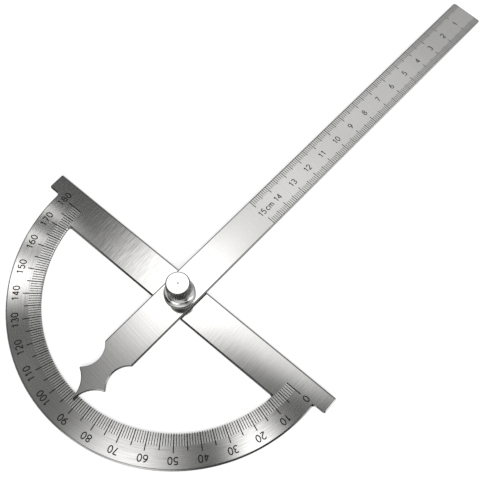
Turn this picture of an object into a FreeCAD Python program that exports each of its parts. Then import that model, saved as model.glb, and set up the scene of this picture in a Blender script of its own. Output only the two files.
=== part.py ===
import FreeCAD, Part
import math
import os

# Angle finder with one swinging arm. All lengths are in millimetres.
# The origin is on the pivot, in the plane of the plate's back. +X runs along the bar towards
# the zero mark, +Y towards the ruler end of the arm, and +Z out of the marked face.

# Scale plate: one sheet blank with a straight bar, a half ring and an ear at each end.
plate_thickness = 1.5
plate_front_bevel = 0.45
plate_back_bevel = 0.2
ring_outer_radius = 71.7
ring_width = 14.3
bar_width = 15.8
bar_corner_radius = 0.5
ear_reach = 5.5
ear_height = 7.7
ear_corner_radius = 0.9
ear_root_radius = 1.2
opening_corner_radius = 1.0

# Arm: one sheet blank, a ruler on one side of the pivot and a pointer on the other.
arm_thickness = 1.2
arm_front_bevel = 0.35
arm_back_bevel = 0.15
arm_width = 15.5
ruler_reach = 200.8
ruler_corner_radius = 0.9
pointer_length = 25.1
waist_width = 8.3
barb_setback = 10.8
barb_width = 15.4
barb_corner_radius = 0.45
point_overlap = 2.7
point_width = 0.9
arm_reading_degrees = 92.4

# Pivot stud: riveted flush in the plate's back, with a shoulder that carries the arm.
tenon_diameter = 5.0
rivet_head_diameter = 7.6
rivet_head_depth = 0.9
shoulder_diameter = 6.5
shoulder_recess = 0.15
thread_diameter = 5.0
thread_chamfer = 0.4
stud_end_gap = 0.8

# Washers: one keeps the arm clear of the scale, one lies between the arm and the nut.
spacer_diameter = 12.0
spacer_thickness = 0.5
nut_washer_diameter = 12.4
nut_washer_thickness = 0.5

# Clearances on radius: the running fits on the stud, and the loose washer hole.
running_clearance = 0.05
washer_clearance = 0.1

# Lock nut: a flanged foot, a hollow-sided flare, and a straight-knurled head.
nut_height = 11.7
flange_diameter = 13.4
flange_rim_height = 0.8
flange_chamfer = 0.15
neck_diameter = 9.2
neck_height = 4.4
knurl_diameter = 10.2
knurl_groove_depth = 0.35
knurl_chamfer = 0.35
knurl_tooth_count = 44
knurl_land_share = 0.42
nut_bore_depth = 9.0
dimple_diameter = 0.9
dimple_depth = 0.4

# How far cutting tools run past a face, and how near a corner has to be to its stated place.
overrun = 0.5
match_tolerance = 0.01

# Places in plan that follow from the sizes above.
ring_inner_radius = ring_outer_radius - ring_width
ear_end = ring_outer_radius + ear_reach
point_reach = ring_inner_radius + point_overlap
barb_reach = point_reach - barb_setback
shoulder_reach = point_reach - pointer_length

# Levels of the stack, from the plate's back upwards.
arm_base = plate_thickness + spacer_thickness
arm_top = arm_base + arm_thickness
nut_base = arm_top + nut_washer_thickness
nut_top = nut_base + nut_height
shoulder_top = arm_top - shoulder_recess
stud_top = nut_base + nut_bore_depth - stud_end_gap

UP = FreeCAD.Vector(0, 0, 1)
PIVOT = FreeCAD.Vector(0, 0, 0)


def point(x, y, z=0):
    """A point in the part's own frame."""
    return FreeCAD.Vector(x, y, z)


def line(start, end):
    """A straight edge."""
    return Part.LineSegment(start, end).toShape()


def arc(start, middle, end):
    """A circular edge through three points."""
    return Part.Arc(start, middle, end).toShape()


def sheet(edges, base, thickness):
    """A flat blank: the outline drawn at one level and given the sheet's thickness."""
    face = Part.Face(Part.Wire(edges))
    face.translate(UP * base)
    return face.extrude(UP * thickness)


def disc(diameter, base, top):
    """A plain cylinder on the pivot, between two levels."""
    return Part.makeCylinder(diameter / 2, top - base, UP * base)


def turned(profile):
    """A body of revolution about the pivot, from (radius, height) corners."""
    corners = [point(radius, 0, height) for radius, height in profile]
    corners.append(corners[0])
    return Part.Face(Part.makePolygon(corners)).revolve(PIVOT, UP, 360)


def round_corners(blank, places, radius):
    """Round the upright edges of a blank that stand at the given places in plan."""
    chosen = []
    for edge in blank.Edges:
        box = edge.BoundBox
        if box.XLength + box.YLength > match_tolerance:
            continue
        for x, y in places:
            if math.hypot(box.Center.x - x, box.Center.y - y) < match_tolerance:
                chosen.append(edge)
    return blank.makeFillet(radius, chosen)


def bevel_rims(blank, faces):
    """Bevel every rim of a blank, given (level, bevel size) for its back and its marked face."""
    for level, size in faces:
        rims = []
        for edge in blank.Edges:
            flat = edge.BoundBox.ZLength < match_tolerance
            if flat and abs(edge.BoundBox.Center.z - level) < match_tolerance:
                rims.append(edge)
        blank = blank.makeChamfer(size, rims)
    return blank


def scale_plate():
    """Bar, half ring and ears in one blank, with the seat for the riveted stud."""
    bar_edge = bar_width / 2
    ear_foot = bar_edge - ear_height
    ear_root = math.sqrt(ring_outer_radius ** 2 - ear_foot ** 2)
    opening_end = math.sqrt(ring_inner_radius ** 2 - bar_edge ** 2)

    outline = [
        line(point(-ear_end, bar_edge), point(ear_end, bar_edge)),
        line(point(ear_end, bar_edge), point(ear_end, ear_foot)),
        line(point(ear_end, ear_foot), point(ear_root, ear_foot)),
        arc(point(ear_root, ear_foot), point(0, -ring_outer_radius), point(-ear_root, ear_foot)),
        line(point(-ear_root, ear_foot), point(-ear_end, ear_foot)),
        line(point(-ear_end, ear_foot), point(-ear_end, bar_edge)),
    ]
    opening = [
        line(point(-opening_end, -bar_edge), point(opening_end, -bar_edge)),
        arc(point(opening_end, -bar_edge), point(0, -ring_inner_radius), point(-opening_end, -bar_edge)),
    ]
    blank = sheet(outline, 0, plate_thickness).cut(sheet(opening, 0, plate_thickness))

    sides = (-1, 1)
    blank = round_corners(blank, [(side * ear_end, bar_edge) for side in sides], bar_corner_radius)
    blank = round_corners(blank, [(side * ear_end, ear_foot) for side in sides], ear_corner_radius)
    blank = round_corners(blank, [(side * ear_root, ear_foot) for side in sides], ear_root_radius)
    blank = round_corners(blank, [(side * opening_end, -bar_edge) for side in sides], opening_corner_radius)
    faces = ((0, plate_back_bevel), (plate_thickness, plate_front_bevel))
    blank = bevel_rims(blank, faces)

    return blank.cut(tenon())


def tenon():
    """The riveted end of the stud: it fills the plate's hole and its countersink."""
    head = Part.makeCone(rivet_head_diameter / 2, tenon_diameter / 2, rivet_head_depth)
    return head.fuse(disc(tenon_diameter, 0, plate_thickness)).removeSplitter()


def pivot_stud():
    """Riveted tenon, shoulder for the arm, and the threaded end at its full diameter."""
    shoulder = disc(shoulder_diameter, plate_thickness, shoulder_top)
    thread_radius = thread_diameter / 2
    threaded_end = turned([
        (0, shoulder_top),
        (thread_radius, shoulder_top),
        (thread_radius, stud_top - thread_chamfer),
        (thread_radius - thread_chamfer, stud_top),
        (0, stud_top),
    ])
    return tenon().fuse([shoulder, threaded_end]).removeSplitter()


def washer(diameter, hole, base, thickness):
    """A flat ring on the pivot."""
    return disc(diameter, base, base + thickness).cut(disc(hole, base, base + thickness))


def spacer_washer():
    """Ring round the stud's shoulder that holds the arm clear of the scale."""
    hole = shoulder_diameter + 2 * running_clearance
    return washer(spacer_diameter, hole, plate_thickness, spacer_thickness)


def nut_washer():
    """Ring under the nut, loose on the thread."""
    hole = thread_diameter + 2 * washer_clearance
    return washer(nut_washer_diameter, hole, arm_top, nut_washer_thickness)


def pointer_side(side):
    """Edges of one side of the pointer, from the shoulder past waist and barb to the point."""
    shoulder = point(side * arm_width / 2, -shoulder_reach)
    waist = point(side * waist_width / 2, -(shoulder_reach + barb_reach) / 2)
    barb = point(side * barb_width / 2, -barb_reach)
    nib_radius = point_width / 2
    nib = point(side * nib_radius, nib_radius - point_reach)

    # The last curve runs out parallel to the arm at the nib, which fixes its radius.
    inset = barb_width / 2 - nib_radius
    run = point_reach - nib_radius - barb_reach
    radius = (inset ** 2 + run ** 2) / (2 * inset)
    half_turn = math.asin(run / radius) / 2
    middle = point(
        side * (nib_radius + radius - radius * math.cos(half_turn)),
        nib.y + radius * math.sin(half_turn),
    )
    return [arc(shoulder, waist, barb), arc(barb, middle, nib)]


def ruler_arm():
    """Ruler and pointer in one blank, drawn along Y and turned to its reading."""
    half = arm_width / 2
    nib_radius = point_width / 2
    nib_level = nib_radius - point_reach
    outline = [
        line(point(-half, ruler_reach), point(half, ruler_reach)),
        line(point(half, ruler_reach), point(half, -shoulder_reach)),
        *pointer_side(1),
        arc(point(nib_radius, nib_level), point(0, -point_reach), point(-nib_radius, nib_level)),
        *pointer_side(-1),
        line(point(-half, -shoulder_reach), point(-half, ruler_reach)),
    ]
    blank = sheet(Part.__sortEdges__(outline), arm_base, arm_thickness)

    sides = (-1, 1)
    blank = round_corners(blank, [(side * half, ruler_reach) for side in sides], ruler_corner_radius)
    blank = round_corners(blank, [(side * half, -shoulder_reach) for side in sides], barb_corner_radius)
    blank = round_corners(
        blank, [(side * barb_width / 2, -barb_reach) for side in sides], barb_corner_radius
    )
    blank = bevel_rims(blank, ((arm_base, arm_back_bevel), (arm_top, arm_front_bevel)))

    hole = shoulder_diameter + 2 * running_clearance
    arm = blank.cut(disc(hole, arm_base, arm_top))
    arm.rotate(PIVOT, UP, 90 - arm_reading_degrees)
    return arm


def knurled_head():
    """Straight-knurled cylinder with a chamfer at both ends."""
    tip_radius = knurl_diameter / 2
    root_radius = tip_radius - knurl_groove_depth
    pitch = 2 * math.pi / knurl_tooth_count
    land = pitch * knurl_land_share
    corners = []
    for tooth in range(knurl_tooth_count):
        middle = tooth * pitch
        for angle, radius in (
            (middle - land / 2, tip_radius),
            (middle + land / 2, tip_radius),
            (middle + pitch / 2, root_radius),
        ):
            corners.append(point(radius * math.cos(angle), radius * math.sin(angle)))
    corners.append(corners[0])
    base = nut_base + neck_height
    face = Part.Face(Part.makePolygon(corners))
    face.translate(UP * base)
    teeth = face.extrude(UP * (nut_top - base))

    # The turned envelope trims both ends of every tooth.
    wide = tip_radius + overrun
    narrow = tip_radius - knurl_chamfer
    chamfer_run = wide - narrow
    envelope = turned([
        (0, base),
        (narrow, base),
        (wide, base + chamfer_run),
        (wide, nut_top - chamfer_run),
        (narrow, nut_top),
        (0, nut_top),
    ])
    return teeth.common(envelope)


def nut_foot():
    """Flange and hollow-sided flare, turned in one with the neck under the knurl."""
    flange = flange_diameter / 2
    neck = neck_diameter / 2
    rim_top = nut_base + flange_rim_height
    neck_top = nut_base + neck_height

    # The flare is an arc that leaves the neck straight down and meets the rim.
    spread = flange - neck
    drop = neck_top - rim_top
    radius = (spread ** 2 + drop ** 2) / (2 * spread)
    half_turn = math.asin(drop / radius) / 2
    middle = point(
        neck + radius - radius * math.cos(half_turn),
        0,
        neck_top - radius * math.sin(half_turn),
    )
    edges = [
        line(point(0, 0, nut_base), point(flange - flange_chamfer, 0, nut_base)),
        line(point(flange - flange_chamfer, 0, nut_base), point(flange, 0, nut_base + flange_chamfer)),
        line(point(flange, 0, nut_base + flange_chamfer), point(flange, 0, rim_top)),
        arc(point(flange, 0, rim_top), middle, point(neck, 0, neck_top)),
        line(point(neck, 0, neck_top), point(0, 0, neck_top)),
        line(point(0, 0, neck_top), point(0, 0, nut_base)),
    ]
    return Part.Face(Part.Wire(edges)).revolve(PIVOT, UP, 360)


def lock_nut():
    """Foot and head in one piece, with a blind bore below and a lathe centre on top."""
    bore = disc(thread_diameter + 2 * running_clearance, nut_base - overrun, nut_base + nut_bore_depth)
    dimple = Part.makeCone(0, dimple_diameter / 2, dimple_depth, UP * (nut_top - dimple_depth))
    return nut_foot().fuse(knurled_head()).cut(bore).cut(dimple)


PIECES = {
    "scale_plate": scale_plate,
    "pivot_stud": pivot_stud,
    "spacer_washer": spacer_washer,
    "ruler_arm": ruler_arm,
    "nut_washer": nut_washer,
    "lock_nut": lock_nut,
}

os.makedirs("parts", exist_ok=True)
for name, make in PIECES.items():
    shape = make()
    shape.exportStep(f"parts/{name}.step")
    print(name, shape.ShapeType, "solids", len(shape.Solids), "valid", shape.isValid(),
          "volume", round(shape.Volume, 1))
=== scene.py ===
import math

import bpy
from mathutils import Matrix, Vector


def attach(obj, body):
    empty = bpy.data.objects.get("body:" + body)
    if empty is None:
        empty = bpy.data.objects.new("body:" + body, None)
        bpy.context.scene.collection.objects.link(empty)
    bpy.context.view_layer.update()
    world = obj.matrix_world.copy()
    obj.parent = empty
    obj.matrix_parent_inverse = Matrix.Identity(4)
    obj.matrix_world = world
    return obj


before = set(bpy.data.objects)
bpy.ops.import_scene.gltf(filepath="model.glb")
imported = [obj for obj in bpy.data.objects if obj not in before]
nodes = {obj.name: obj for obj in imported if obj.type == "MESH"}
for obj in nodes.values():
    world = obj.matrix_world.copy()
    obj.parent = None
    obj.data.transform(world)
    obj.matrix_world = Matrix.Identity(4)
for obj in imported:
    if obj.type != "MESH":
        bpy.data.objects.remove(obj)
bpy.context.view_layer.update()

MM = 0.001


# Scale plate.
# One flat blank of stainless sheet with a straight bar, a half ring and an ear at each end.
# The bar is brushed across its width and the ring is ground round its arc. The sheared edges
# are bevelled. Painted shade makes their bevels and walls dark and lays a dark hair line beside
# them, and only the ring's inner edge is turned bright.

class Link:
    """One socket of a node tree. Arithmetic adds Math nodes, and node() adds any other node."""

    def __init__(self, tree, socket=None):
        self.tree = tree
        self.socket = socket

    def node(self, kind, settings=None, sockets=None, output=0):
        made = self.tree.nodes.new(kind)
        for name, value in (settings or {}).items():
            setattr(made, name, value)
        for key, value in (sockets or {}).items():
            if isinstance(value, Link):
                self.tree.links.new(value.socket, made.inputs[key])
            else:
                made.inputs[key].default_value = value
        return Link(self.tree, made.outputs[output]) if len(made.outputs) else made

    def maths(self, operation, *terms):
        return self.node("ShaderNodeMath", {"operation": operation}, dict(enumerate(terms)))

    def __add__(self, other):
        return self.maths("ADD", self, other)

    def __sub__(self, other):
        return self.maths("SUBTRACT", self, other)

    def __rsub__(self, other):
        return self.maths("SUBTRACT", other, self)

    def __mul__(self, other):
        return self.maths("MULTIPLY", self, other)

    def __truediv__(self, other):
        return self.maths("DIVIDE", self, other)

    def __rtruediv__(self, other):
        return self.maths("DIVIDE", other, self)

    def __pow__(self, other):
        return self.maths("POWER", self, other)

    __radd__ = __add__
    __rmul__ = __mul__

    def rise(self, low, high):
        """0 below low, 1 above high, and smooth between."""
        sockets = {"Value": self, "From Min": low, "From Max": high}
        return self.node("ShaderNodeMapRange", {"interpolation_type": "SMOOTHSTEP"}, sockets)

    def part(self, axis):
        """One number of a vector, by its letter."""
        return self.node("ShaderNodeSeparateXYZ", {}, {0: self}, "XYZ".index(axis))

    def vector(self, x=0.0, y=0.0, z=0.0):
        return self.node("ShaderNodeCombineXYZ", {}, {0: x, 1: y, 2: z})

    def stretch(self, amount):
        """A vector times a number."""
        sockets = {0: self, "Scale": amount}
        return self.node("ShaderNodeVectorMath", {"operation": "SCALE"}, sockets)

    def plus(self, other):
        """A vector plus a vector."""
        return self.node("ShaderNodeVectorMath", {"operation": "ADD"}, {0: self, 1: other})

    def reach(self):
        """How far this place lies from the pivot's axis."""
        flat = self.vector(self.part("X"), self.part("Y"))
        return self.node("ShaderNodeVectorMath", {"operation": "LENGTH"}, {0: flat}, 1)

    def noise(self, detail=3.0, roughness=0.6):
        """Noise between 0 and 1 at this vector."""
        sockets = {"Vector": self, "Scale": 1.0, "Detail": detail, "Roughness": roughness}
        return self.node("ShaderNodeTexNoise", {"noise_dimensions": "3D"}, sockets)

    def over(self, below, above):
        """Two colour links mixed by this share."""
        return self.node("ShaderNodeMix", {"data_type": "RGBA"}, {0: self, 6: below, 7: above}, 2)

    def between(self, first, second):
        """Two plain colours mixed by this share."""
        return self.over((*first, 1), (*second, 1))


def new_finish(name):
    """An empty material and the link that starts its node tree."""
    finish = bpy.data.materials.new(name)
    finish.use_nodes = True
    finish.node_tree.nodes.clear()
    return finish, Link(finish.node_tree)


def close_finish(start, **sockets):
    """The surface shader and the output that end a material."""
    named = {name.replace("_", " "): value for name, value in sockets.items()}
    shader = start.node("ShaderNodeBsdfPrincipled", {}, named)
    start.node("ShaderNodeOutputMaterial", {}, {"Surface": shader})


GROOVE = 0.13 * MM
BAND = 0.5 * MM
GRIT = 0.5 * MM
CLOUD = 24 * MM
# Painted shade: the dark hair line painted just inside the edges of the plate and the arm.
EDGE_SHADE_LINE = (0.05, 0.05, 0.05, 1)
# Painted sheen: the lighter colour of the etched band of the ring, which stands for light caught
# beside the marks.
MARK_BAND_SHEEN = (0.9, 0.895, 0.88, 1)
TURNED_BEVEL = (0.62, 0.62, 0.61, 1)
# Painted shade: dark colours for the bevels and the walls of the sheared edges, which draw dark
# outlines round the steel.
BEVEL_SHADE_DARK, BEVEL_SHADE_PALE = (0.11, 0.11, 0.108), (0.18, 0.18, 0.177)
WALL_SHADE_DARK, WALL_SHADE_PALE = (0.02, 0.02, 0.02), (0.045, 0.045, 0.045)


def brushed_steel(name, pale, dark, gloss, layers, edge_shade, sheen_band=None, turned=None):
    """Bright steel sheet with fine scratches. layers gives, from the place on the piece, one row
    for each direction of brushing: how far across the scratches a point lies, a vector along
    them, the direction that they tip the light, and where that brushing lies. Of the last three
    arguments, the first tells where a painted shade line darkens the face beside its edges, the
    second where the face is duller and its colour painted lighter as a painted sheen, and the
    third where the bevel is turned bright. The other bevels and the walls get painted shade."""
    finish, start = new_finish(name)
    seat = start.node("ShaderNodeTexCoord", {}, {}, 3)
    facing = Link(start.tree, seat.socket.node.outputs["Normal"])
    upright = facing.part("Z").maths("ABSOLUTE", facing.part("Z"))
    flat = upright.rise(0.9, 0.98)
    wall = 1 - upright.rise(0.3, 0.6)
    grit = seat.stretch(1 / GRIT).noise(3.0, 0.6)
    cloud = seat.stretch(1 / CLOUD).noise(2.0, 0.5)

    pushed, streak = facing, 0.0
    for across, along, tip, share in layers(seat):
        groove = along.plus(start.vector(across * (1 / GROOVE))).noise(2.0, 0.6)
        band = along.plus(start.vector(across * (1 / BAND), 0.0, 7.0)).noise(4.0, 0.65)
        lean = (groove - 0.5) * 0.035 + (band - 0.5) * 0.02
        pushed = pushed.plus(tip.stretch(lean * share * flat))
        streak = streak + band * share
    coded = pushed.stretch(0.5).plus((0.5, 0.5, 0.5))
    normal = start.node("ShaderNodeNormalMap", {"space": "OBJECT"}, {"Color": coded})

    worn = streak.rise(0.3, 0.7) * 0.55 + grit.rise(0.3, 0.7) * 0.25 + cloud.rise(0.3, 0.7) * 0.2
    face = worn.between(dark, pale)
    dull_and_sheen = 0.0
    # The etched band is rougher, and painted lighter as a painted sheen.
    if sheen_band:
        dull_and_sheen = sheen_band(seat)
        face = dull_and_sheen.over(face, MARK_BAND_SHEEN)
    # Painted shade: a dark hair line just inside the edges.
    face = (edge_shade(seat) * (0.8 + grit * 0.2)).over(face, EDGE_SHADE_LINE)
    # Painted shade: the bevels and walls are coloured dark to draw the outlines.
    bevel = grit.between(BEVEL_SHADE_DARK, BEVEL_SHADE_PALE)
    if turned:
        bevel = turned(seat).over(bevel, TURNED_BEVEL)
    cut = grit.between(WALL_SHADE_DARK, WALL_SHADE_PALE)
    shade = wall.over(flat.over(bevel, face), cut)
    rough = gloss + streak * 0.03 + dull_and_sheen * 0.035 + (1 - flat) * 0.06 + wall * (grit * 0.3 + 0.1)
    close_finish(start, Base_Color=shade, Metallic=1.0, Roughness=rough, Normal=normal)
    return finish


PLATE_TOP = 1.5 * MM
PLATE_BEVEL = 0.45 * MM
BAR_HALF = 7.9 * MM
RING_INNER = 57.4 * MM
RING_OUTER = 71.7 * MM
EAR_END = 77.2 * MM
EAR_SHOULDER = 0.2 * MM
SCRATCH = 8 * MM


def plate_layers(seat):
    """Across the bar's width on the bar, and round the arc on the ring."""
    x, y, reach = seat.part("X"), seat.part("Y"), seat.reach()
    ring = (0.0 - y).rise(BAR_HALF - 0.4 * MM, BAR_HALF + 0.4 * MM)
    outward = seat.vector(x, y).stretch(1 / reach)
    return [
        (x, seat.vector(0.0, y / SCRATCH, 0.0), seat.vector(1.0), 1 - ring),
        (reach, seat.vector(x / SCRATCH, y / SCRATCH, 3.0), outward, ring),
    ]


PLATE_RIM = 0.7 * MM
FADE = 0.08 * MM


def plate_rims(seat):
    """Painted shade: a dark hair line beside the edges of the plate, but not where the degree
    marks run off it.
    """
    x, y = seat.part("X"), seat.part("Y")
    reach, below, aside = seat.reach(), 0.0 - y, x.maths("ABSOLUTE", x)
    hole = 1 - reach.rise(RING_INNER - FADE, RING_INNER + FADE)

    def beside(distance, edge):
        """The line just inside an edge, by the distance measured towards that edge."""
        return distance.rise(edge - PLATE_RIM, edge - PLATE_RIM + FADE)

    line = beside(y, BAR_HALF)
    for rim in (beside(below, BAR_HALF) * hole, beside(aside, EAR_END),
                beside(reach, RING_OUTER) * below.rise(-EAR_SHOULDER, FADE)):
        line = line.maths("MAXIMUM", line, rim)
    return line


def inner_edge(seat):
    """The ring's inner edge, which is turned on a lathe."""
    near = 1 - seat.reach().rise(RING_INNER + PLATE_RIM, RING_INNER + 1 * MM)
    return near * (0.0 - seat.part("Y")).rise(BAR_HALF, BAR_HALF + 1 * MM)


MARKS_MIDDLE = 60.1 * MM
MARKS_HALF = 2.3 * MM


def mark_band(seat):
    """The band of the ring where the etching of the degree marks has dulled the steel: it is
    rougher there, and its colour is painted lighter, a painted sheen.
    """
    off = seat.maths("ABSOLUTE", seat.reach() - MARKS_MIDDLE)
    inside = 1 - off.rise(MARKS_HALF - 0.2 * MM, MARKS_HALF + 0.2 * MM)
    return inside * (0.0 - seat.part("Y")).rise(0.0, 0.5 * MM)


STEEL_PALE = (0.76, 0.755, 0.745)
STEEL_GLOSS = 0.055
plate_steel = brushed_steel(
    "plate_steel", STEEL_PALE, (0.6, 0.595, 0.585), STEEL_GLOSS, plate_layers, plate_rims,
    mark_band, inner_edge,
)
nodes["scale_plate"].material_slots[0].material = plate_steel


# Etched marks.
# The degree marks are etched into the ring and blackened, one for each degree, longer at
# every fifth and tenth. They are so shallow that they read as dark lines flush with the face.

def etched_black(name):
    """Blackened etching: dull dark grey, a little uneven where the black has worn."""
    finish, start = new_finish(name)
    seat = start.node("ShaderNodeTexCoord", {}, {}, 3)
    worn = seat.stretch(1 / (0.6 * MM)).noise(3.0, 0.6)
    shade = worn.rise(0.3, 0.8).between((0.005, 0.005, 0.006), (0.02, 0.02, 0.02))
    rough = 0.5 + worn * 0.25
    close_finish(start, Base_Color=shade, Metallic=0.0, Roughness=rough, Specular_IOR_Level=0.15)
    return finish


def new_tree(name, inputs, with_geometry=False):
    """A geometry tree with named inputs, and links to each of them."""
    tree = bpy.data.node_groups.new(name, "GeometryNodeTree")
    sides = tree.interface
    if with_geometry:
        sides.new_socket("Geometry", in_out="INPUT", socket_type="NodeSocketGeometry")
    for title, kind in inputs.items():
        sides.new_socket(title, in_out="INPUT", socket_type="NodeSocket" + kind)
    sides.new_socket("Geometry", in_out="OUTPUT", socket_type="NodeSocketGeometry")
    entry = tree.nodes.new("NodeGroupInput")
    return tree, {socket.name: Link(tree, socket) for socket in entry.outputs if socket.name}


def end_tree(link, finish):
    """Realize Instances, Set Material and the tree's output."""
    real = link.node("GeometryNodeRealizeInstances", {}, {0: link})
    painted = link.node("GeometryNodeSetMaterial", {}, {"Geometry": real, "Material": finish})
    link.node("NodeGroupOutput", {}, {0: painted})


def grown(name, tree, values, start=None):
    """The plain mesh that a tree grows, from the values of its named inputs."""
    seed = bpy.data.objects.new(name, start or bpy.data.meshes.new(name))
    bpy.context.scene.collection.objects.link(seed)
    rule = seed.modifiers.new("rule", "NODES")
    rule.node_group = tree
    for socket in tree.interface.items_tree:
        if socket.in_out == "INPUT" and socket.name in values:
            rule[socket.identifier] = values[socket.name]
    bpy.context.view_layer.update()
    graph = bpy.context.evaluated_depsgraph_get()
    mesh = bpy.data.meshes.new_from_object(seed.evaluated_get(graph))
    seed.modifiers.clear()
    seed.data = mesh
    mesh.name = name
    return seed


MARK_SIZES = {
    "Count": "Int", "First number": "Int", "First angle": "Float", "Angle step": "Float",
    "First level": "Float", "Travel": "Float", "Start": "Float", "Short": "Float",
    "Middle": "Float", "Long": "Float", "Line width": "Float", "Fifth width": "Float",
    "Line depth": "Float", "Height": "Float", "Tilt": "Float", "Finish": "Material",
}


def mark_rule():
    """The tree that lays a row of marks round an arc or along an edge. Fifth marks are longer and
    wider, and tenth marks longer still."""
    tree, size = new_tree("mark_row", MARK_SIZES)
    start = Link(tree)
    index = start.node("GeometryNodeInputIndex") + size["First number"]
    angle = size["First angle"] + index * size["Angle step"]
    fifth = index.maths("LESS_THAN", index.maths("MODULO", index, 5.0), 0.5)
    tenth = index.maths("LESS_THAN", index.maths("MODULO", index, 10.0), 0.5)
    length = (size["Short"] + (size["Middle"] - size["Short"]) * fifth
              + (size["Long"] - size["Middle"]) * tenth)
    middle = size["Start"] + length * 0.5
    place = start.vector(
        middle * angle.maths("COSINE", angle),
        size["First level"] + index * size["Travel"] + middle * angle.maths("SINE", angle),
        size["Height"],
    )
    row = start.node("GeometryNodeMeshLine", {"count_mode": "TOTAL"}, {"Count": size["Count"]})
    spots = start.node("GeometryNodeSetPosition", {}, {"Geometry": row, "Position": place})
    block = start.node("GeometryNodeMeshCube", {}, {"Size": (1.0, 1.0, 1.0)})
    lie = start.vector(0.0, size["Tilt"], angle)
    turn = start.node("FunctionNodeEulerToRotation", {}, {0: lie})
    width = size["Line width"] + (size["Fifth width"] - size["Line width"]) * fifth
    shape = start.vector(length, width, size["Line depth"])
    marks = start.node(
        "GeometryNodeInstanceOnPoints", {},
        {"Points": spots, "Instance": block, "Rotation": turn, "Scale": shape},
    )
    end_tree(marks, size["Finish"])
    return tree


MARK_DEPTH = 0.03 * MM
mark_row = mark_rule()
plate_black = etched_black("plate_black")
SLOPE_LENGTH = PLATE_BEVEL * 2 ** 0.5
degree_row = {
    "First angle": 0.0, "Angle step": math.radians(-1), "First level": 0.0, "Travel": 0.0,
    "Line width": 0.3 * MM, "Fifth width": 0.44 * MM, "Line depth": MARK_DEPTH,
    "Finish": plate_black,
}
face_row = dict(degree_row, **{
    "Count": 181, "First number": 0, "Start": RING_INNER + PLATE_BEVEL, "Short": 4.55 * MM,
    "Middle": 6.25 * MM, "Long": 7.15 * MM, "Height": PLATE_TOP, "Tilt": 0.0,
})
# The marks run on over the bevel of the inner edge, between the corners of the opening.
bevel_row = dict(degree_row, **{
    "Count": 161, "First number": 10, "Start": RING_INNER + (PLATE_BEVEL - SLOPE_LENGTH) / 2,
    "Short": SLOPE_LENGTH, "Middle": SLOPE_LENGTH, "Long": SLOPE_LENGTH,
    "Height": PLATE_TOP - PLATE_BEVEL / 2, "Tilt": math.radians(-45),
})
for name, row in (("degree_marks", face_row), ("degree_marks_bevel", bevel_row)):
    marks = grown(name, mark_row, row)
    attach(marks, "protractor")


# Degree numbers.
# Plain figures etched with a single round-nosed stroke, every ten degrees, centred on their
# marks with their tops towards the outer edge.

def bow(x, y, wide, high, first, last, count=14):
    """Points along part of an ellipse, angles in degrees."""
    turns = [math.radians(first + (last - first) * k / count) for k in range(count + 1)]
    return [(x + wide * math.cos(t), y + high * math.sin(t)) for t in turns]


FIGURE_WIDTH = 0.58
WIDE_FIGURES = {"m": 0.86}
loop = bow(0.29, 0.3, 0.29, 0.3, 0, 360)
hook = bow(0.56, 0.34, 0.56, 0.66, 182, 100, 8)
FIGURES = {
    "0": [bow(0.29, 0.5, 0.29, 0.5, 0, 360, 20)],
    "1": [[(0.1, 0.76), (0.33, 1.0)], [(0.33, 1.0), (0.33, 0.0)]],
    "2": [bow(0.29, 0.71, 0.28, 0.29, 165, -35) + [(0.01, 0.0)], [(0.01, 0.0), (0.58, 0.0)]],
    "3": [bow(0.27, 0.755, 0.26, 0.245, 150, -90), bow(0.27, 0.255, 0.3, 0.255, 90, -150)],
    "4": [[(0.42, 0.0), (0.42, 1.0)], [(0.42, 1.0), (0.0, 0.27)], [(0.0, 0.27), (0.58, 0.27)]],
    "5": [[(0.53, 1.0), (0.09, 1.0)], [(0.09, 1.0), (0.06, 0.55)],
          bow(0.27, 0.32, 0.3, 0.32, 130, -145)],
    "6": [loop, hook],
    "7": [[(0.0, 1.0), (0.56, 1.0)], [(0.56, 1.0), (0.2, 0.0)]],
    "8": [bow(0.29, 0.76, 0.24, 0.24, 0, 360), bow(0.29, 0.26, 0.29, 0.26, 0, 360)],
    "9": [[(FIGURE_WIDTH - x, 1 - y) for x, y in stroke] for stroke in (loop, hook)],
    "c": [bow(0.31, 0.34, 0.29, 0.34, 50, 310)],
    "m": [[(0.0, 0.68), (0.0, 0.0)],
          bow(0.2, 0.45, 0.2, 0.22, 180, 0, 8) + [(0.4, 0.0)],
          bow(0.6, 0.45, 0.2, 0.22, 180, 0, 8) + [(0.8, 0.0)]],
}


def figure_lines(text, height, gap, place, shift=0.0):
    """Strokes of a number, centred at shift along its line, each point moved by place(x, y)."""
    widths = [height * WIDE_FIGURES.get(figure, FIGURE_WIDTH) + gap for figure in text]
    left = shift - (sum(widths) - gap) / 2
    strokes = []
    for figure, width in zip(text, widths):
        for stroke in FIGURES[figure]:
            strokes.append([place(left + x * height, (y - 0.5) * height) for x, y in stroke])
        left += width
    return strokes


def stroke_rule():
    """The tree that gives every drawn stroke its width and its shallow round section."""
    sizes = {"Line width": "Float", "Flatness": "Float", "Height": "Float", "Finish": "Material"}
    tree, size = new_tree("etched_stroke", sizes, with_geometry=True)
    line = size["Geometry"].node("GeometryNodeMeshToCurve", {}, {0: size["Geometry"]})
    radius = size["Line width"] * 0.5
    nose = line.node("GeometryNodeCurvePrimitiveCircle", {}, {"Resolution": 8, "Radius": radius})
    sockets = {"Curve": line, "Profile Curve": nose, "Fill Caps": True}
    body = line.node("GeometryNodeCurveToMesh", {}, sockets)
    placed = line.node("GeometryNodeTransform", {}, {
        "Geometry": body,
        "Translation": line.vector(0.0, 0.0, size["Height"]),
        "Scale": line.vector(1.0, 1.0, size["Flatness"]),
    })
    end_tree(placed, size["Finish"])
    return tree


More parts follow.
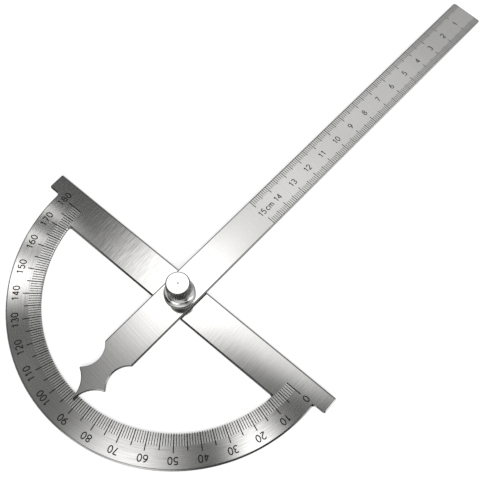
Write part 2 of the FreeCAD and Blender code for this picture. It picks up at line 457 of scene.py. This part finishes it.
def etched_figures(name, strokes, width, height, finish):
    """A mesh of all the strokes, drawn on one face."""
    points, edges = [], []
    for stroke in strokes:
        first = len(points)
        points.extend((x, y, 0.0) for x, y in stroke)
        edges.extend((first + k, first + k + 1) for k in range(len(stroke) - 1))
    lines = bpy.data.meshes.new(name)
    lines.from_pydata(points, edges, [])
    values = {"Line width": width, "Flatness": 0.08, "Height": height, "Finish": finish}
    return grown(name, etched_stroke, values, lines)


etched_stroke = stroke_rule()
NUMBER_RADIUS = 67.9 * MM
NUMBER_HEIGHT = 2.75 * MM
NUMBER_GAP = 0.7 * MM
degree_strokes = []
for degree in range(0, 181, 10):
    swing = math.radians(-degree)

    def on_ring(x, y, swing=swing):
        """Up in the figure points away from the pivot, and right follows the arc."""
        reach = NUMBER_RADIUS + y
        return (reach * math.cos(swing) + x * math.sin(swing),
                reach * math.sin(swing) - x * math.cos(swing))

    degree_strokes += figure_lines(str(degree), NUMBER_HEIGHT, NUMBER_GAP, on_ring)

degree_numbers = etched_figures(
    "degree_numbers", degree_strokes, 0.48 * MM, PLATE_TOP, plate_black,
)
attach(degree_numbers, "protractor")


# Pivot stud and spacer.
# A turned steel stud with a shoulder for the arm, riveted flush into the plate's back, and a
# thin washer that keeps the arm clear of the scale. Both show only from behind or edge on.

def turned_steel(name, pale, dark, gloss):
    """Lathe-turned steel: fine rings about the pivot."""
    finish, start = new_finish(name)
    seat = start.node("ShaderNodeTexCoord", {}, {}, 3)
    rings = seat.vector(seat.reach() * (1 / (0.12 * MM)), 0.0, seat.part("Z") * (1 / (0.1 * MM)))
    grain = rings.noise(3.0, 0.6)
    cloud = seat.stretch(1 / (2.5 * MM)).noise(2.0, 0.5)
    bump = start.node("ShaderNodeBump", {}, {
        "Strength": 0.25, "Distance": 0.02 * MM, "Height": grain,
    })
    shade = (grain * 0.6 + cloud * 0.4).rise(0.3, 0.7).between(dark, pale)
    close_finish(start, Base_Color=shade, Metallic=1.0, Roughness=gloss + grain * 0.1, Normal=bump)
    return finish


stud_steel = turned_steel("stud_steel", (0.66, 0.65, 0.63), (0.5, 0.49, 0.475), 0.22)
nodes["pivot_stud"].material_slots[0].material = stud_steel
washer_steel = turned_steel("washer_steel", (0.62, 0.61, 0.59), (0.46, 0.45, 0.44), 0.25)
nodes["spacer_washer"].material_slots[0].material = washer_steel


# Ruler arm.
# One blank of thinner sheet, brushed across its width, with a ruler at one end and a pointer
# with a waist and two barbs at the other. It turns on the stud's shoulder.

ARM_TOP = 3.2 * MM
ARM_TURN = math.radians(90 - 92.4)


def along_arm(seat):
    """The place on the arm as it is drawn, before it is turned by its reading."""
    sockets = {"Vector": seat, "Angle": -ARM_TURN}
    return seat.node("ShaderNodeVectorRotate", {"rotation_type": "Z_AXIS"}, sockets)


def arm_layers(seat):
    """Straight across the arm."""
    drawn = along_arm(seat)
    lengthwise = seat.vector(-math.sin(ARM_TURN), math.cos(ARM_TURN))
    return [(drawn.part("Y"), seat.vector(drawn.part("X") / SCRATCH, 3.0), lengthwise, 1.0)]


RULER_END = 200.8 * MM
ARM_HALF = 7.75 * MM
ARM_BEVEL = 0.35 * MM
ARM_RIM = 0.6 * MM


def arm_rims(seat):
    """Painted shade: a dark hair line beside the long edges of the arm and its ruler end."""
    drawn = along_arm(seat)
    x, y = drawn.part("X"), drawn.part("Y")
    sides = x.maths("ABSOLUTE", x).rise(ARM_HALF - ARM_RIM, ARM_HALF - ARM_RIM + FADE)
    return x.maths("MAXIMUM", sides, y.rise(RULER_END - ARM_RIM, RULER_END - ARM_RIM + FADE))


arm_steel = brushed_steel(
    "arm_steel", STEEL_PALE, (0.62, 0.615, 0.605), STEEL_GLOSS, arm_layers, arm_rims,
)
nodes["ruler_arm"].material_slots[0].material = arm_steel


# Ruler marks and numbers.
# Millimetre marks etched along both edges of the arm, from zero at its far end to 150 near
# the pivot, and centimetre numbers between them that read from the pivot outwards.

arm_black = etched_black("arm_black")
ruler_row = {
    "Count": 150, "First number": 1, "Angle step": 0.0, "First level": RULER_END,
    "Travel": -1 * MM, "Start": ARM_BEVEL - ARM_HALF, "Line width": 0.24 * MM,
    "Fifth width": 0.32 * MM, "Line depth": MARK_DEPTH, "Height": ARM_TOP, "Tilt": 0.0,
    "Finish": arm_black,
}
left_row = dict(ruler_row, **{
    "First angle": 0.0, "Short": 2.6 * MM, "Middle": 3.1 * MM, "Long": 3.85 * MM,
})
right_row = dict(ruler_row, **{
    "First angle": math.pi, "Short": 2.75 * MM, "Middle": 3.2 * MM, "Long": 3.9 * MM,
})
for name, row in (("ruler_marks_left", left_row), ("ruler_marks_right", right_row)):
    marks = grown(name, mark_row, row)
    marks.data.transform(Matrix.Rotation(ARM_TURN, 4, "Z"))
    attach(marks, "arm")

FIGURE_HEIGHT = 2.5 * MM
FIGURE_GAP = 0.4 * MM
FIGURES_ASIDE = 0.15 * MM
UNIT_SHIFT = 4.6 * MM
ruler_strokes = []
for centimetre in range(1, 16):
    level = RULER_END - centimetre * 10 * MM

    def on_arm(x, y, level=level):
        """Up in the figure points to the left edge, and right points to the ruler's end."""
        return FIGURES_ASIDE - y, level + x

    ruler_strokes += figure_lines(str(centimetre), FIGURE_HEIGHT, FIGURE_GAP, on_arm)
    if centimetre == 15:
        ruler_strokes += figure_lines("cm", FIGURE_HEIGHT, FIGURE_GAP, on_arm, UNIT_SHIFT)
ruler_numbers = etched_figures("ruler_numbers", ruler_strokes, 0.38 * MM, ARM_TOP, arm_black)
ruler_numbers.data.transform(Matrix.Rotation(ARM_TURN, 4, "Z"))
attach(ruler_numbers, "arm")


# Lock nut and its washer.
# The nut is turned from bar and plated bright: a flange, a hollow flare and a straight-knurled
# head with a closed flat top and a small lathe centre. A thin washer lies loose under it.

KNURL_FOOT = 8.1 * MM
KNURL_ROOT = 4.75 * MM
NUT_TOP = 15.4 * MM
TOP_FACE = (0.74, 0.74, 0.73, 1)
# Painted shade: a dark ring round the edge of the top face.
TOP_EDGE_SHADE = (0.12, 0.12, 0.118, 1)
# Painted shade: the flare and flange are a darker copy of the plating of the top face.
FLARE_SHADE_DARK, FLARE_SHADE_PALE = (0.46, 0.46, 0.455), (0.53, 0.53, 0.525)
# Painted shade: the knurl's teeth, dark at their crests and darkest between them.
TOOTH_SHADE_DARK, TOOTH_SHADE_PALE = (0.03, 0.03, 0.03), (0.2, 0.2, 0.197)


def bright_plating(name):
    """Bright plating over fine turning marks, rougher on the knurl. Painted shade makes the
    knurl's teeth dark and darkest between them, the flare a darker copy of the top face, and a
    dark ring round the top face.
    """
    finish, start = new_finish(name)
    seat = start.node("ShaderNodeTexCoord", {}, {}, 3)
    facing = Link(start.tree, seat.socket.node.outputs["Normal"])
    reach = seat.reach()
    rings = seat.vector(reach * (1 / (0.18 * MM)), 0.0, seat.part("Z") * (1 / (0.25 * MM)))
    grain = rings.noise(2.0, 0.5)
    cloud = seat.stretch(1 / (3 * MM)).noise(2.0, 0.5)
    bump = start.node("ShaderNodeBump", {}, {
        "Strength": 0.12, "Distance": 0.01 * MM, "Height": grain,
    })
    side = 1 - facing.part("Z").maths("ABSOLUTE", facing.part("Z")).rise(0.75, 0.95)
    knurl = seat.part("Z").rise(KNURL_FOOT - 0.1 * MM, KNURL_FOOT) * side
    knurl = knurl * reach.rise(0.8 * KNURL_ROOT, 0.9 * KNURL_ROOT)
    crest = reach.rise(KNURL_ROOT, KNURL_ROOT + 0.3 * MM)
    # Painted shade: the flare is coloured darker than the top face.
    flare = cloud.rise(0.3, 0.7).between(FLARE_SHADE_DARK, FLARE_SHADE_PALE)
    rim = reach.rise(KNURL_ROOT - 0.26 * MM, KNURL_ROOT - 0.2 * MM)
    # Painted shade: the dark ring round the top face.
    top = rim.over(TOP_FACE, TOP_EDGE_SHADE)
    plain = seat.part("Z").rise(NUT_TOP - 0.3 * MM, NUT_TOP - 0.1 * MM).over(flare, top)
    # Painted shade on the knurl, darkest between the teeth.
    tooth = (crest * 0.8 + cloud * 0.2).between(TOOTH_SHADE_DARK, TOOTH_SHADE_PALE)
    rough = 0.06 + grain * 0.06 + knurl * 0.12
    close_finish(start, Base_Color=knurl.over(plain, tooth), Metallic=1.0, Roughness=rough,
                 Normal=bump)
    return finish


nodes["nut_washer"].material_slots[0].material = washer_steel
nodes["lock_nut"].material_slots[0].material = bright_plating("nut_plating")


# Table, light and camera.
# The tool lies on a plain white table under a wide soft ceiling light that is brightest over
# the pivot and darker between a few panels, so that the bare steel shows where it shines.

TABLE_HALF = 40
TABLE_LEVEL = -0.02 * MM
SEEN_WHITE = 0.55


def table_white():
    """White table top that stays white in the picture and keeps part of every shadow."""
    finish, start = new_finish("table_white")
    rays = start.node("ShaderNodeLightPath").socket.node.outputs
    seen = Link(start.tree, rays["Is Camera Ray"])
    for name in ("Is Glossy Ray", "Is Transmission Ray"):
        seen = seen.maths("MAXIMUM", seen, Link(start.tree, rays[name]))
    matt = start.node("ShaderNodeBsdfDiffuse", {}, {"Color": (0.9, 0.9, 0.9, 1)})
    white = start.node("ShaderNodeEmission", {}, {"Color": (1, 1, 1, 1), "Strength": 1.0})
    mixed = start.node("ShaderNodeMixShader", {}, {0: seen * SEEN_WHITE, 1: matt, 2: white})
    start.node("ShaderNodeOutputMaterial", {}, {"Surface": mixed})
    return finish


table_mesh = bpy.data.meshes.new("table")
table_mesh.from_pydata(
    [(x * TABLE_HALF, y * TABLE_HALF, TABLE_LEVEL)
     for x, y in ((-1, -1), (1, -1), (1, 1), (-1, 1))],
    [], [(0, 1, 2, 3)],
)
table_mesh.materials.append(table_white())
table = bpy.data.objects.new("table", table_mesh)
bpy.context.scene.collection.objects.link(table)

# The ceiling is worked out on the flat picture that a mirror lying on the table would show to
# the camera: directions become millimetres on the plate's own plane, measured from the pivot.
# Each panel has its middle, the turn of its long side, two half sizes and a brightness.
CAMERA_TURN = (23.147, -2.298, 39.685)
CAMERA_PLACE = (93.3 * MM, -70.29 * MM, 326.74 * MM)


def spoke(bearing, half_width, strength):
    """A panel that points away from the pivot, over the ring."""
    turn = math.radians(-bearing)
    return (80 * math.cos(turn), 80 * math.sin(turn), -bearing, 24, half_width, strength)


PANELS = [
    (-3, -1, 80, 31, 29, 1.45), (48, 9, 8, 34, 9, 1.1), (3, 66, 90, 68, 34, 0.86),
    spoke(22.5, 10.5, 2.3), spoke(66, 21, 2.0), spoke(110, 24, 0.12), spoke(146.5, 10.5, 2.3),
    spoke(162.5, 2.4, 2.2), spoke(173.5, 1.8, 2.0), (0, -50, 0, 12, 12, 0.15),
]

# Two places are shaded: behind the camera, and over the far end of the ruler.
SHADES = [((150, -170), -35, (150, 80), 0.88), ((8, 212), 90, (88, 70), 0.41)]

# The room beyond the ceiling, by bearing and height: each row has a middle bearing, half its
# width, a brightness added to the plain wall, a middle height and half its height.
WALLS = [
    (-138, 25, -0.66, 0.2, 0.33), (-112, 16, -0.74, 0.2, 0.34), (-68, 18, 0.7, 0.42, 0.2),
    (-8, 17, -0.74, 0.2, 0.33), (31, 16, 0.6, 0.32, 0.24), (80, 24, -0.3, 0.12, 0.26),
    (-114, 3, 3.0, 0.17, 0.02), (-72, 18, 4.0, 0.12, 0.09), (-95, 10, 4.0, 0.02, 0.035),
    (14, 13, 6.0, 0.04, 0.05), (24, 15, 4.0, 0.22, 0.04), (55, 18, 0.6, 0.1, 0.08),
    (-38, 18, -0.45, 0.13, 0.16), (-48, 27, 0.7, 0.7, 0.18), (0, 14, -0.4, 0.74, 0.12),
]


CEILING_EDGE = (0.58, 0.72)
HORIZON_EDGE = (0.02, 0.07)
WALL_LEVEL = 0.75
MIDDLE_LEVEL = 0.13
FAR_LEVEL = 0.72
DARKEST = 0.02


def studio():
    """World light: soft ceiling panels over a darker middle, and pale walls round it."""
    world = bpy.data.worlds.new("studio")
    bpy.context.scene.world = world
    world.use_nodes = True
    world.node_tree.nodes.clear()
    start = Link(world.node_tree)
    ray = start.node("ShaderNodeTexCoord", {}, {}, 0)
    up = ray.part("Z")
    lift = up.maths("MAXIMUM", up, 0.05)
    x = ray.part("X") / lift * (CAMERA_PLACE[2] / MM) + CAMERA_PLACE[0] / MM
    y = ray.part("Y") / lift * (CAMERA_PLACE[2] / MM) + CAMERA_PLACE[1] / MM
    bearing = up.maths("ARCTAN2", ray.part("Y"), ray.part("X")) * (180 / math.pi)

    def panel(first, second, middle, turn, sizes, strength):
        """One soft panel in two coordinates, flat in its middle and fading at its edge."""
        cosine, sine = math.cos(math.radians(turn)), math.sin(math.radians(turn))
        along = ((first - middle[0]) * cosine + (second - middle[1]) * sine) / sizes[0]
        aside = ((second - middle[1]) * cosine - (first - middle[0]) * sine) / sizes[1]
        square = along * along + aside * aside
        return strength / square.maths("EXPONENT", square ** 1.25)

    reach = (x * x + y * y) ** 0.5
    level = reach.rise(88, 160) * FAR_LEVEL + MIDDLE_LEVEL
    for middle_x, middle_y, turn, length, width, strength in PANELS:
        level = level + panel(x, y, (middle_x, middle_y), turn, (length, width), strength)
    for middle, turn, sizes, share in SHADES:
        level = level * (1 - panel(x, y, middle, turn, sizes, share))

    ceiling = up.rise(*CEILING_EDGE)
    level = level * ceiling + WALL_LEVEL * (1 - ceiling)
    for middle, half, strength, rise, tall in WALLS:
        level = level + panel(bearing, up, (middle, rise), 0, (half, tall), strength)
    horizon = 1 - up.rise(*HORIZON_EDGE)
    level = level.maths("MAXIMUM", level.maths("MAXIMUM", level, DARKEST), horizon)
    sky = start.node("ShaderNodeBackground", {}, {"Color": (1, 1, 1, 1), "Strength": level})
    start.node("ShaderNodeOutputWorld", {}, {"Surface": sky})


studio()

lamp = bpy.data.lights.new("soft_lamp", "SUN")
lamp.angle = math.radians(40)
lamp.energy = 2.6
soft_lamp = bpy.data.objects.new("soft_lamp", lamp)
soft_lamp.rotation_euler = Vector((-0.5, 0.65, -1.15)).to_track_quat("-Z", "Y").to_euler()
soft_lamp.visible_glossy = False
bpy.context.scene.collection.objects.link(soft_lamp)

lens = bpy.data.cameras.new("camera")
lens.lens = 61.55
lens.shift_x = -0.0751
lens.shift_y = 0.003
lens.clip_start = 0.01
lens.clip_end = 100
camera = bpy.data.objects.new("camera", lens)
camera.location = CAMERA_PLACE
camera.rotation_euler = [math.radians(turn) for turn in CAMERA_TURN]
bpy.context.scene.collection.objects.link(camera)
bpy.context.scene.camera = camera
bpy.context.scene.view_settings.view_transform = "Standard"
